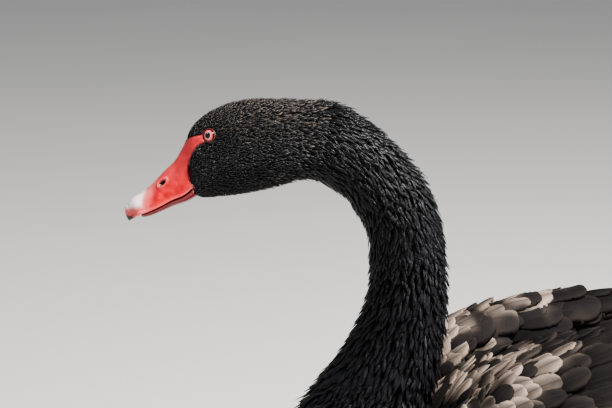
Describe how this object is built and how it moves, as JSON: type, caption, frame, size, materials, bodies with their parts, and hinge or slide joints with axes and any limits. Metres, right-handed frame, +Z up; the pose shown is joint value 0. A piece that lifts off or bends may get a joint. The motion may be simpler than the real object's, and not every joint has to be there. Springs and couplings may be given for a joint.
{
  "type": "black swan",
  "caption": "Life-size black swan standing on both webbed feet, its long neck in an S and its head turned a little to its right.",
  "frame": {"origin": "middle of the bird's box at floor level, between and a little ahead of the feet", "axes": "+X towards the tail, -Y the bird's left side, +Z up"},
  "size_m": [0.7062, 0.2576, 0.5783],
  "materials": {
    "black_feathers": "short dense charcoal-black feathers with a soft silvery sheen",
    "wing_feathers": "charcoal feathers with wide grey-brown edges",
    "red_bill": "smooth waxy red horn with a white band near its tip",
    "red_eye": "wet red iris round a dark pupil",
    "leg_skin": "dark grey scaly skin",
    "claw_horn": "dark horn"
  },
  "bodies": {
    "root": {"head": "black_feathers", "eye_left": "red_eye", "eye_right": "red_eye", "bill_upper": "red_bill", "bill_lower": "red_bill", "neck_upper": "black_feathers", "neck_middle": "black_feathers", "neck_lower": "black_feathers", "torso": "black_feathers", "wing_left": "wing_feathers", "wing_right": "wing_feathers", "tail": "black_feathers", "thigh_left": "black_feathers", "thigh_right": "black_feathers", "shank_left": "leg_skin", "shank_right": "leg_skin", "foot_left": "leg_skin", "foot_right": "leg_skin", "claw_inner_left": "claw_horn", "claw_middle_left": "claw_horn", "claw_outer_left": "claw_horn", "claw_hind_left": "claw_horn", "claw_inner_right": "claw_horn", "claw_middle_right": "claw_horn", "claw_outer_right": "claw_horn", "claw_hind_right": "claw_horn"}
  },
  "joints": []
}
